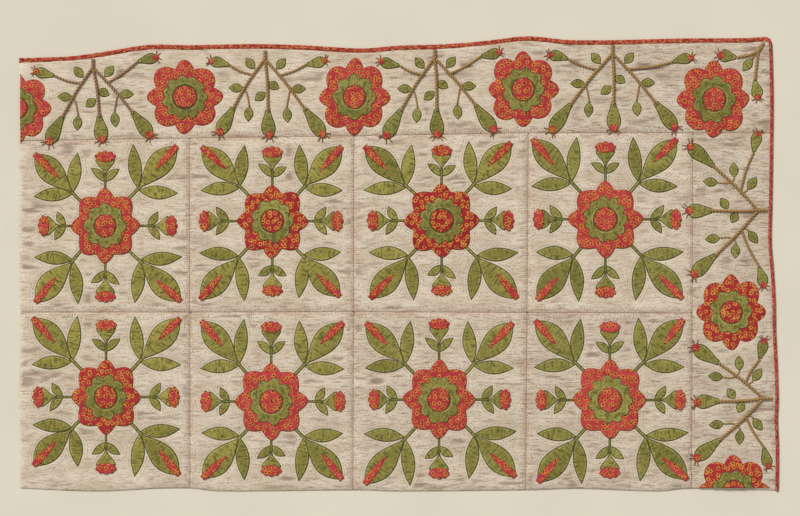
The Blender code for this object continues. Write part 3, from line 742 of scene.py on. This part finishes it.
def panel(node, edges, rolled, field, material):
    """One piece of the quilt top. rolled names its sides that are turned under at the quilt's edge."""
    bottom, _, left, _ = edges
    width = abs(bottom[-1] - bottom[0])
    height = abs(left[-1] - left[0])
    columns, rows = int(width / STEP_X), int(height / STEP_Y)
    places = coons(*edges, columns, rows)
    u = np.linspace(0, width, columns) + np.zeros((rows, 1))
    v = np.linspace(0, height, rows)[:, None] + np.zeros(columns)
    depths = {"left": u, "right": width - u, "bottom": v, "top": height - v}
    to_seam = np.min(list(depths.values()), axis=0)
    sewn = np.min([depth for side, depth in depths.items() if side not in rolled], axis=0)
    from_motif = field.distance(places)
    heights, pucker = surface(places, from_motif, to_seam)
    for side in rolled:
        heights = heights - (GROUND_SEAM - ROLL_LOW) * (1 - turned_edge(depths[side] / ROLL_WIDTH))
    for row in RIM_ROWS.values():
        heights[row] = np.minimum(heights[row], BACK_TOP)
    for side in rolled:
        heights[RIM_ROWS[side]] = UNDER_ROLL
    cloth = Cloth()
    # The pucker depth is kept as the edge depth, for the painted shade in the puckers.
    cloth.add(places, heights, grid_faces(rows, columns), pucker)
    name = node.removeprefix("block_")
    obj = cloth.build(f"ground_{name}", material, "ground", node, tone=cream_tone(name, places))
    # Painted highlight: near the motifs, where the quilting puffs, the cream is painted lighter and its
    # painted crease shade fainter.
    keep_values(obj.data, "halo", (1 - rise(from_motif, 0.004, 0.020)).ravel())
    keep_values(obj.data, "to_seam", sewn.ravel())
    return obj, (width, height)


def cream_tone(name, places):
    """How much darker a panel's cream is, from 0 to 1. The top border darkens towards the right."""
    if name == "border_top":
        return 0.85 * rise(places.real.ravel(), -0.3, 1.0)
    return BLOCKS[name]["cream"] if name in BLOCKS else 1.0


def panels(field, material):
    """Every panel with its flat size, by the name of the CAD node that it stands for."""
    made = {}

    def add(node, bottom, top, left, right, *rolled):
        made[node] = panel(node, (bottom, top, left, right), rolled, field, material)

    for row, label in ((1, "r1"), (0, "r2")):
        for column in range(4):
            a, b = SEAM_CORNERS[row][column:column + 2]
            c, d = SEAM_CORNERS[row + 1][column:column + 2]
            bottom = edge_part(BOTTOM_EDGE, a.real, b.real, "x") if row == 0 else [a, b]
            left = edge_part(LEFT_EDGE, a.imag, c.imag, "y") if column == 0 else [a, c]
            rolled = ["left"] * (column == 0) + ["bottom"] * (row == 0)
            add(f"block_{label}c{column + 1}", bottom, [c, d], left, [b, d], *rolled)
    end = BORDER_SEAM_END - 0.0025
    seam = [*SEAM_CORNERS[2], end]
    top = edge_part(TOP_EDGE, TOP_EDGE[0].real, TOP_EDGE[-1].real, "x") - UNDER_BINDING * (0.4 + 1j)
    left = edge_part(LEFT_EDGE, seam[0].imag, top[0].imag, "y")
    right = edge_part(RIGHT_EDGE, end.imag, top[-1].imag, "y") - UNDER_BINDING
    add("border_top", seam, top, left, right, "left")
    left = [row[-1] for row in SEAM_CORNERS]
    bottom = edge_part(BOTTOM_EDGE, left[0].real, BOTTOM_EDGE[-1].real - UNDER_BINDING, "x")
    right = edge_part(RIGHT_EDGE, bottom[-1].imag, end.imag, "y") - UNDER_BINDING
    add("border_side", bottom, [left[-1], end], left, right, "bottom")
    return made


def backing(material):
    """The backing with its thin filling, as one soft slab inside the bound and turned edges."""
    edges = [BOTTOM_EDGE, RIGHT_EDGE, TOP_EDGE[::-1], LEFT_EDGE[::-1]]
    rim = np.concatenate([smooth_line(edge, 0.02)[:-1] for edge in edges])
    inward = 1j * unit(np.roll(rim, -1) - np.roll(rim, 1))
    inset, height = np.array([(0.010, 0.0), (0.0022, 0.0), (0.0014, 0.0008), (0.0014, 0.0018),
                              (0.0024, BACK_TOP)]).T[:, :, None]
    places = rim + inward * inset
    cloth = Cloth()
    cloth.add(places, height + 0 * places.real, grid_faces(inset.size, rim.size, wrap=True), 0.01)
    under = np.arange(rim.size)
    cloth.faces += [under[None, ::-1], under[None] + places.size - rim.size]
    obj = cloth.build("backing_cloth", material, "backing", "backing")
    obj.data.shade_flat()
    return obj


def binding(side, edge, material, width, outward, tone):
    """The folded red strip over one bound edge, softly puckered where it is sewn. outward is 1 where
    the cloth lies on the right of the edge as its table runs, and -1 where it lies on the left."""
    line = smooth_line(edge, 0.006)
    inward = -outward * 1j * unit(np.gradient(line))
    inward[-1] = MITRE
    run = run_along(line)
    sewn = 0.0007 * (value_noise(run * 90, run * 0, 11) - 0.5)
    roll = 0.0008 * (value_noise(run * 26, run * 0, 12) - 0.5)
    inset = width * np.array([0.94, 0.11, 0.02, 0.0, 0.06, 0.22, 0.52, 0.79, 0.96, 1.0])
    height = np.array([0.0002, 0.0001, 0.0010, 0.0028, 0.0046, 0.0056, 0.0060, 0.0058, 0.0052, 0.0034])
    at_seam = ((inset > 0.75 * width) & (height > 0.003))[:, None]
    places = line + inward * (inset[:, None] + sewn * at_seam)
    heights = height[:, None] + roll * (height > 0.004)[:, None]
    cloth = Cloth()
    grain = run[None, :] + 1j * inset[:, None]
    depth = np.minimum(inset, width - inset)[:, None]
    cloth.add(places, heights, grid_faces(inset.size, line.size), depth, grain)
    return cloth.build(f"binding_cloth_{side}", material, "red", f"binding_{side}", tone=tone)


# Stitches

def stitch_mesh(name, centres, ways, material, field, length=STITCH_LENGTH, width=STITCH_WIDTH):
    """Short raised stitches on the quilt top, each a low pyramid along its thread."""
    heights = surface(centres, field.distance(centres), to_seams(centres))[0] - 0.0001
    along = ways * length / 2
    aside = 1j * ways * width / 2
    corners = np.stack([centres - along, centres + aside, centres + along, centres - aside, centres], axis=1)
    lift = np.stack([heights] * 4 + [heights + STITCH_RISE], axis=1)
    first = np.arange(centres.size)[:, None] * 5
    faces = np.concatenate([first + np.array([[i, (i + 1) % 4, 4]]) for i in (3, 2, 1, 0)])
    cloth = Cloth()
    cloth.add(corners, lift, faces, 0.01)
    return cloth.build(name, material)


def inside_quilt(places, margin):
    top = np.interp(places.real, TOP_EDGE.real, TOP_EDGE.imag)
    right = np.interp(places.imag, RIGHT_EDGE.imag, RIGHT_EDGE.real)
    low = LEFT_EDGE[0] + complex(margin, margin)
    high = -BOUND_STRIP - margin
    return ((places.imag < top + high) & (places.real < right + high)
            & (places.real > low.real) & (places.imag > low.imag))


def seam_lines():
    """The two ends of every seam between the panels."""
    upright = [line for row in list(zip(*SEAM_CORNERS))[1:] for line in zip(row, row[1:])]
    level = [line for row in SEAM_CORNERS[1:] for line in zip(row, row[1:])]
    return [*upright, *level, (SEAM_CORNERS[-1][-1], BORDER_SEAM_END)]


def to_seams(places):
    """Distance to the nearest seam or outer edge."""
    ends = seam_lines()
    for edge in (TOP_EDGE, RIGHT_EDGE, BOTTOM_EDGE, LEFT_EDGE):
        ends += list(zip(edge, edge[1:]))
    nearest = np.full(places.shape, FAR)
    for a, b in ends:
        share = np.clip(((places - a) * (b - a).conjugate()).real / abs(b - a) ** 2, 0, 1)
        nearest = np.minimum(nearest, np.abs(places - a - (b - a) * share))
    return nearest


def echo_row(rim, offset):
    """The places and ways of the stitches in one row round a motif."""
    closed = np.append(rim, rim[0])
    run = run_along(closed)
    count = max(6, int((run[-1] + 2 * np.pi * offset) / STITCH_PITCH))
    at = np.linspace(0, run[-1], count, endpoint=False) + RNG.uniform(0, 0.003, count)
    line = place_at(closed, run, at)
    way = place_at(closed, run, at + 0.002) - line
    good = np.abs(way) > 1e-5
    way = unit(way[good])
    return line[good] - 1j * way_round(rim) * way * (offset + RNG.normal(0, 0.0005, way.size)), way


def echo_stitches(name, rims, field, material):
    """Rows of quilting that follow the outlines of motifs. The outer row comes and goes."""
    centres, ways = [], []
    for rim in rims:
        for offset in ECHO_ROWS:
            spots, way = echo_row(rim, offset)
            clear = field.distance(spots) > offset - 0.0012
            if offset > ECHO_ROWS[0]:
                clear &= value_noise(spots.real * 22, spots.imag * 22, 13) > 0.48
            clear &= inside_quilt(spots, 0.002)
            centres.append(spots[clear])
            ways.append(way[clear])
    return stitch_mesh(name, np.concatenate(centres), np.concatenate(ways), material, field)


def seam_stitches(field, material):
    """Short ticks across every seam, close along it and thinner further out."""
    centres, ways = [], []
    for a, b in seam_lines():
        way = unit(b - a)
        for side in (-1, 1):
            for offset, share in TICK_ROWS:
                run = np.arange(0.004, abs(b - a) - 0.004, TICK_PITCH)
                run = run[RNG.random(run.size) < share]
                run = run + RNG.normal(0, 0.0006, run.size)
                centres.append(a + way * run + 1j * way * side * (offset + RNG.normal(0, 0.0015, run.size)))
                ways.append(np.full(run.size, 1j * way))
    centres, ways = np.concatenate(centres), np.concatenate(ways)
    clear = (field.distance(centres) > 0.004) & inside_quilt(centres, 0.004)
    return stitch_mesh("seam_stitches", centres[clear], ways[clear], material, field, TICK_LENGTH,
                       TICK_WIDTH)


# Materials

def linear(colour):
    """An sRGB colour of 0 to 255 as the renderer's own values, with full alpha."""
    share = [c / 255 for c in colour]
    return (*(c / 12.92 if c <= 0.04045 else ((c + 0.055) / 1.055) ** 2.4 for c in share), 1.0)


# The colour sockets of a mix node, by number
MIX_A, MIX_B, MIX_RESULT = 6, 7, 2


class Shader:
    """Builds one node material."""

    def __init__(self, name):
        self.material = bpy.data.materials.new(name)
        self.material.use_nodes = True
        self.tree = self.material.node_tree
        self.surface = self.tree.nodes["Principled BSDF"]
        self.fill(self.surface, {"Roughness": 0.92, "Specular IOR Level": 0.15})
        self.coordinates = self.node("TexCoord")["Object"]

    def fill(self, node, inputs):
        """Gives each input of a node its value, or joins it to another node's output."""
        for name, value in inputs.items():
            if isinstance(value, bpy.types.NodeSocket):
                self.tree.links.new(value, node.inputs[name])
            else:
                node.inputs[name].default_value = value

    def node(self, kind, inputs=(), **settings):
        """Adds a node and returns its outputs."""
        node = self.tree.nodes.new(f"ShaderNode{kind}")
        for name, value in settings.items():
            setattr(node, name, value)
        self.fill(node, dict(inputs))
        return node.outputs

    def scaled(self, stretch, along=None):
        return self.node("Mapping", {"Scale": stretch, "Vector": along or self.coordinates})["Vector"]

    def noise(self, stretch, detail=3.0, roughness=0.55, along=None):
        inputs = {"Scale": 1.0, "Detail": detail, "Roughness": roughness}
        return self.node("TexNoise", {**inputs, "Vector": self.scaled(stretch, along)})["Fac"]

    def spots(self, stretch, low, high, start=0.0, end=1.0, **noise):
        """Noise sharpened into spots: start where it is low or less, end where it is high or more."""
        return self.between(self.noise(stretch, **noise), low, high, start, end)

    def cells(self, scale, randomness):
        inputs = {"Scale": 1.0, "Randomness": randomness, "Vector": self.scaled((scale, scale, 1))}
        return self.node("TexVoronoi", inputs, voronoi_dimensions="2D")["Distance"]

    def attribute(self, name, output="Fac"):
        return self.node("Attribute", attribute_name=name)[output]

    def between(self, value, low, high, start=0.0, end=1.0):
        """start where value is low or less, end where it is high or more, smooth between."""
        inputs = {"Value": value, "From Min": low, "From Max": high, "To Min": start, "To Max": end}
        return self.node("MapRange", inputs, interpolation_type="SMOOTHSTEP")["Result"]

    def times(self, a, b):
        return self.node("Math", {0: a, 1: b}, operation="MULTIPLY")["Value"]

    def plus(self, a, b):
        return self.node("Math", {0: a, 1: b}, operation="ADD")["Value"]

    def mix(self, share, a, b):
        """Colour a where share is 0, b where it is 1. A colour is 0 to 255, or another node's output."""
        a, b = (linear(colour) if isinstance(colour, tuple) else colour for colour in (a, b))
        return self.node("Mix", {"Factor": share, MIX_A: a, MIX_B: b}, data_type="RGBA")[MIX_RESULT]

    def layered(self, colour, layers):
        """Lays tints over a colour in turn. Each row has where its tint lies, its strength and the tint."""
        for share, strength, tint in layers:
            colour = self.mix(self.times(share, strength), colour, tint)
        return colour

    def done(self, colour, bump=None, height=0.0006):
        if bump is not None:
            normal = self.node("Bump", {"Distance": height, "Height": bump})["Normal"]
            self.fill(self.surface, {"Normal": normal})
        self.fill(self.surface, {"Base Color": colour})
        return self.material


def ground_material():
    """Aged cream cotton with painted shade in its fine sideways creases and puckers, a painted highlight
    round the motifs where the quilting puffs, and browner by the seams.
    """
    shader = Shader("cream_cotton")
    cream_darkness, halo, to_seam = (shader.attribute(name) for name in ("tone", "halo", "to_seam"))
    light = shader.mix(cream_darkness, (223, 208, 186), (212, 197, 176))
    dark = shader.mix(cream_darkness, (204, 186, 161), (194, 176, 155))
    shade = shader.mix(cream_darkness, (156, 130, 106), (134, 118, 98))
    deep = shader.between(cream_darkness, 0.0, 1.0, 0.72, 0.98)
    calm = shader.between(halo, 0.0, 1.0, 1.0, 0.65)
    strong = shader.times(shader.between(cream_darkness, 0.0, 1.0, 0.48, 0.70), calm)
    stained = shader.spots((6, 6, 1), 0.40, 0.60, 0.04, 0.30)
    colour = shader.mix(shader.spots((9, 24, 1), 0.35, 0.68), light, dark)
    colour = shader.layered(colour, [
        # Painted shade: these two rows darken the cream towards the shade colour in the fine sideways
        # creases.
        (shader.spots((22, 150, 1), 0.52, 0.70, detail=6.0, roughness=0.6), deep, shade),
        (shader.spots((38, 330, 1), 0.52, 0.64, detail=2.0), strong, shade),
        (shader.spots((190, 280, 1), 0.50, 0.70, detail=2.0), strong, (146, 122, 99)),
        # Painted shade in the puckers: the pucker depth, kept as the edge depth, darkens the cream.
        (shader.attribute("edge_depth"), 0.70, (134, 110, 92)),
        # Painted highlight round the motifs, where the quilting puffs.
        (halo, 0.30, (212, 196, 173)),
        (shader.between(to_seam, 0.002, 0.015, 1.0, 0.0), stained, (182, 146, 122)),
        (shader.between(to_seam, 0.0, 0.0026, 1.0, 0.0), 0.60, (116, 88, 72)),
    ])
    return shader.done(colour, shader.noise((900, 900, 1), detail=2.0), 0.0003)


def green_material():
    """Olive cotton. Each leaf has its own tone, cross creases with painted shade in them, painted shade
    along its turned edge, and light stitches.
    """
    shader = Shader("olive_cotton")
    grain = shader.attribute("grain", "Vector")
    tone, depth = shader.attribute("tone"), shader.attribute("edge_depth")
    light = shader.mix(tone, (165, 152, 76), (146, 139, 74))
    deep = shader.mix(tone, (129, 121, 55), (112, 106, 50))
    creases = shader.noise((150, 40, 1), detail=2.0, along=grain)
    ticks = shader.spots((170, 10, 1), 0.42, 0.58, detail=0.0, along=grain)
    inner, outer = shader.between(depth, 0.0034, 0.0048), shader.between(depth, 0.0052, 0.0066, 1.0, 0.0)
    colour = shader.mix(shader.spots((3, 3, 1), 0.30, 0.70, detail=1.0, along=grain), light, deep)
    colour = shader.layered(colour, [
        (shader.spots((34, 34, 1), 0.44, 0.62, detail=2.0), 0.50, (114, 108, 46)),
        # Painted shade in the cross creases, which the bump also follows.
        (shader.between(creases, 0.52, 0.60), 0.72, (74, 76, 34)),
        (shader.spots((300, 110, 1), 0.52, 0.66, detail=1.0, along=grain), 0.55, (80, 80, 36)),
        (shader.spots((330, 330, 1), 0.52, 0.72, detail=1.0), 0.45, (190, 176, 98)),
        (shader.times(shader.times(inner, outer), ticks), 0.55, (192, 182, 124)),
        # Painted shade along the turned edge.
        (shader.between(depth, 0.0010, 0.0042, 1.0, 0.0), 0.80, (58, 62, 30)),
    ])
    return shader.done(colour, creases, 0.0020)


def red_material():
    """Red calico with small dark dots, each in an uneven yellow ring, with painted shade a little darker at
    its turned edge.
    """
    shader = Shader("red_calico")
    tone = shader.attribute("tone")
    faded = shader.spots((26, 26, 1), 0.38, 0.64, detail=2.0)
    crimson = shader.mix(faded, (144, 35, 38), (160, 46, 45))
    coral = shader.mix(faded, (176, 62, 62), (190, 76, 70))
    dots = shader.plus(shader.cells(68.0, 0.8), shader.spots((260, 260, 1), 0.3, 0.7, -0.09, 0.09))
    uneven = shader.spots((60, 60, 1), 0.36, 0.56, 0.35, 0.95)
    gold = shader.times(uneven, shader.between(tone, 0.0, 0.9, 1.0, 0.70))
    # Painted shade along the turned edge.
    edge = shader.between(shader.attribute("edge_depth"), 0.0004, 0.0030, 1.0, 0.0)
    colour = shader.layered(shader.mix(tone, crimson, coral), [
        (shader.spots((95, 95, 1), 0.48, 0.68), 0.50, (136, 30, 34)),
        (shader.between(dots, 0.31, 0.41, 1.0, 0.0), gold, (218, 146, 66)),
        (shader.between(dots, 0.12, 0.22, 1.0, 0.0), 1.0, (92, 34, 24)),
        (edge, 0.70, (116, 30, 32)),
    ])
    return shader.done(colour, shader.noise((240, 240, 1)), 0.0008)


def binding_material():
    """Red calico, flecked with dull gold and brown."""
    shader = Shader("binding_calico")
    grain = shader.attribute("grain", "Vector")
    faded = shader.spots((60, 60, 1), 0.40, 0.60, detail=2.0, along=grain)
    gold = shader.mix(shader.attribute("tone"), (172, 142, 76), (180, 128, 96))
    colour = shader.layered(shader.mix(faded, (154, 42, 42), (178, 68, 57)), [
        (shader.spots((110, 240, 1), 0.51, 0.62, detail=2.0, along=grain), 0.85, gold),
        (shader.spots((150, 150, 1), 0.56, 0.66, detail=1.0, along=grain), 0.85, (82, 32, 24)),
    ])
    return shader.done(colour, shader.noise((200, 200, 1)), 0.0008)


def cord_material():
    shader = Shader("golden_cord")
    # Painted light and shade: lighter on the strands' crests, darker in the valleys between them.
    crest = shader.between(shader.attribute("edge_depth"), 0.10, 0.90)
    valley = shader.mix(shader.attribute("tone"), (124, 94, 56), (112, 86, 62))
    lit_ridge = shader.mix(shader.attribute("tone"), (166, 132, 84), (160, 128, 94))
    return shader.done(shader.mix(crest, valley, lit_ridge))


def plain_material(name, light, dark, stretch=(400, 400, 400), low=0.35, high=0.65):
    shader = Shader(name)
    return shader.done(shader.mix(shader.spots(stretch, low, high), light, dark))


# Stage

FLOOR = 30.0
# What the camera looks down on: the middle of the view and its width
VIEW_MIDDLE = (0.0027, 0.0162)
VIEW_WIDTH = 2.16


def stage():
    """A plain pale floor, soft light from the upper left, and a camera straight above."""
    floor_mesh = bpy.data.meshes.new("floor")
    corners = [(-FLOOR, -FLOOR, 0), (FLOOR, -FLOOR, 0), (FLOOR, FLOOR, 0), (-FLOOR, FLOOR, 0)]
    floor_mesh.from_pydata(corners, [], [(0, 1, 2, 3)])
    floor_mesh.materials.append(plain_material("floor_paper", (218, 211, 192), (215, 207, 189), (3, 3, 3)))
    add_object("floor", floor_mesh)

    sun = bpy.data.lights.new("key", "SUN")
    sun.energy = 3.0
    sun.angle = math.radians(14)
    add_object("key", sun).rotation_euler = (math.radians(-38), math.radians(-38), 0)

    scene = bpy.context.scene
    scene.world = bpy.data.worlds.new("soft_room")
    scene.world.use_nodes = True
    background = scene.world.node_tree.nodes["Background"]
    background.inputs["Color"].default_value = (1.0, 0.99, 0.97, 1.0)
    background.inputs["Strength"].default_value = 0.45
    scene.view_settings.view_transform = "Standard"

    lens = bpy.data.cameras.new("camera")
    lens.lens = 85
    lens.sensor_width = 36
    lens.clip_end = 60
    scene.camera = add_object("camera", lens)
    scene.camera.location = (*VIEW_MIDDLE, VIEW_WIDTH * lens.lens / lens.sensor_width + 0.004)


# Where the panels end, for what is sewn on them
BORDER_Y = 0.345
BORDER_X = 0.793
ROW_END = -0.13
COLUMN_ENDS = (-0.565, -0.122, 0.348)


def panel_of(place):
    """The name of the panel that a place lies on."""
    if place.imag > BORDER_Y:
        return "border_top"
    if place.real > BORDER_X:
        return "border_side"
    row = 1 if place.imag > ROW_END else 2
    return f"block_r{row}c{1 + sum(place.real > end for end in COLUMN_ENDS)}"


def make_materials():
    plain = {
        "backing": ("backing_cotton", (208, 192, 170), (196, 178, 155), (30, 30, 1), 0.3, 0.7),
        "hair": ("brown_thread", (140, 98, 60), (108, 74, 46)),
        "thread": ("grey_thread", (92, 77, 67), (74, 60, 53)),
        "faint_thread": ("faded_thread", (152, 132, 113), (136, 116, 99)),
        "seam_thread": ("russet_thread", (150, 108, 88), (132, 90, 72)),
    }
    return {
        "red": red_material(), "green": green_material(), "ground": ground_material(),
        "binding": binding_material(), "cord": cord_material(),
        **{name: plain_material(*values) for name, values in plain.items()},
    }


def motifs(materials):
    """Every flower, leaf and spray, listed by the panel that it is sewn on."""
    sewn_on = {}

    def sew(place, pieces):
        sewn_on.setdefault(panel_of(place), []).extend(pieces)

    for name, row in BLOCKS.items():
        sew(row["centre"], block_flowers(name, row, materials))
        sew(row["centre"], rose(name, row, ROSE_LOW, BLOCK_LOBES, materials))
    for name, row in BORDER_ROSES.items():
        sew(row["centre"], rose(name, row, BORDER_ROSE_LOW, BORDER_LOBES, materials))
    for name, row in SPRAYS.items():
        sew(row["root"] + row["forward"] * 0.1, bud_spray(name, row, materials))
    sew(CORNER_SPRAY_ROOT, corner_spray(materials))
    return sewn_on


def main():
    materials = make_materials()
    sewn_on = motifs(materials)
    field = MotifField()
    back = backing(materials["backing"])
    for node, (obj, flat) in panels(field, materials["ground"]).items():
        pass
    top = binding("top", TOP_EDGE, materials["binding"], TOP_BINDING_WIDTH, 1, 0.0)
    side = binding("side", RIGHT_EDGE, materials["binding"], SIDE_BINDING_WIDTH, -1, 1.0)
    rims = {"border": [], "block": []}
    for rim in OUTLINES:
        rims[panel_of(rim.mean()).split("_")[0]].append(rim)
    echo_stitches("block_stitches", rims["block"], field, materials["thread"])
    echo_stitches("border_stitches", rims["border"], field, materials["faint_thread"])
    seam_stitches(field, materials["seam_thread"])
    stage()


main()
